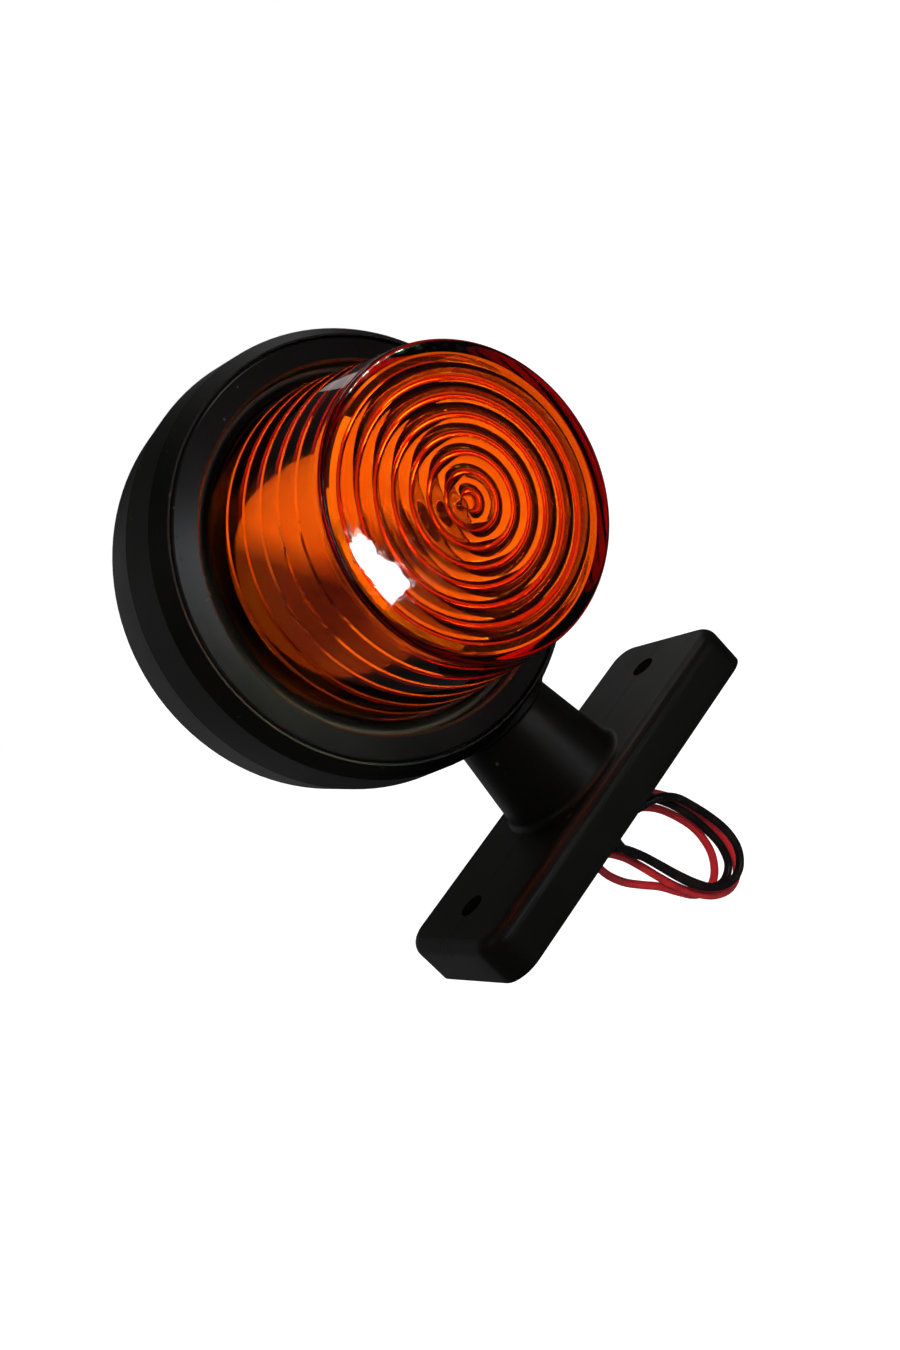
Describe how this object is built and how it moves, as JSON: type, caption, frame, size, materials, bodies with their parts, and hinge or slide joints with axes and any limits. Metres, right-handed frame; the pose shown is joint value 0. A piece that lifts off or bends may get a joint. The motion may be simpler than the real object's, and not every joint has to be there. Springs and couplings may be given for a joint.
{
  "type": "stalk marker lamp",
  "caption": "Stalk-mounted marker lamp with a round black moulded head, deep amber ringed drum lens, screw-down foot and looped red and black leads.",
  "frame": {"origin": "centre of the foot's back face, midway between the two screw holes", "axes": "+X along the foot, +Z from the foot through the stalk to the head, the lens looks along -Y"},
  "size_m": [0.0932, 0.069, 0.1651],
  "materials": {
    "housing": "satin",
    "seal": "matte",
    "ring": "satin",
    "lens": "clear amber",
    "plated_steel": "zinc plated",
    "phenolic": "satin",
    "brass": "bright",
    "spring_steel": "bright",
    "white_enamel": "gloss",
    "black_glass": "gloss",
    "solder": "satin",
    "bulb_glass": "clear",
    "wire_metal": "satin",
    "red_insulation": "satin",
    "black_insulation": "gloss",
    "copper": "bright",
    "tinned": "bright"
  },
  "bodies": {
    "lamp": {"housing": "housing", "lens_seal": "seal", "holder_shell": "plated_steel", "holder_screws": "plated_steel", "base_disc": "phenolic", "live_tab": "brass", "earth_tab": "brass", "contact_spring": "spring_steel", "reflector": "white_enamel", "red_inner_lead": "red_insulation", "black_inner_lead": "black_insulation", "red_core": "copper", "black_core": "copper", "cable_bush": "seal", "red_lead": "red_insulation", "black_lead": "black_insulation", "red_tip": "tinned", "black_tip": "tinned"},
    "lens_unit": {"lens": "lens", "lens_ring": "ring"},
    "bulb": {"bulb_cap": "brass", "bulb_pins": "brass", "bulb_insulator": "black_glass", "bulb_contact": "solder", "bulb_glass": "bulb_glass", "bulb_stem": "bulb_glass", "filament_posts": "wire_metal", "filament": "wire_metal"},
    "contact": {"contact_disc": "phenolic", "contact_stud": "brass"}
  },
  "joints": [
    {"name": "lens_off", "type": "slide", "parent": "lamp", "child": "lens_unit", "axis": [0, -1, 0], "range_m": [0, 0.045]},
    {"name": "bulb_press", "type": "slide", "parent": "lamp", "child": "bulb", "axis": [0, 1, 0], "range_m": [0, 0.0015]},
    {"name": "contact_follow", "type": "slide", "parent": "lamp", "child": "contact", "axis": [0, 1, 0], "range_m": [0, 0.0015], "stiffness_N_per_m": 1500, "springref_m": -0.003, "deforming": ["contact_spring"]}
  ],
  "couplings": [
    {"joint": "contact_follow", "follows": "bulb_press", "ratio": 1}
  ]
}
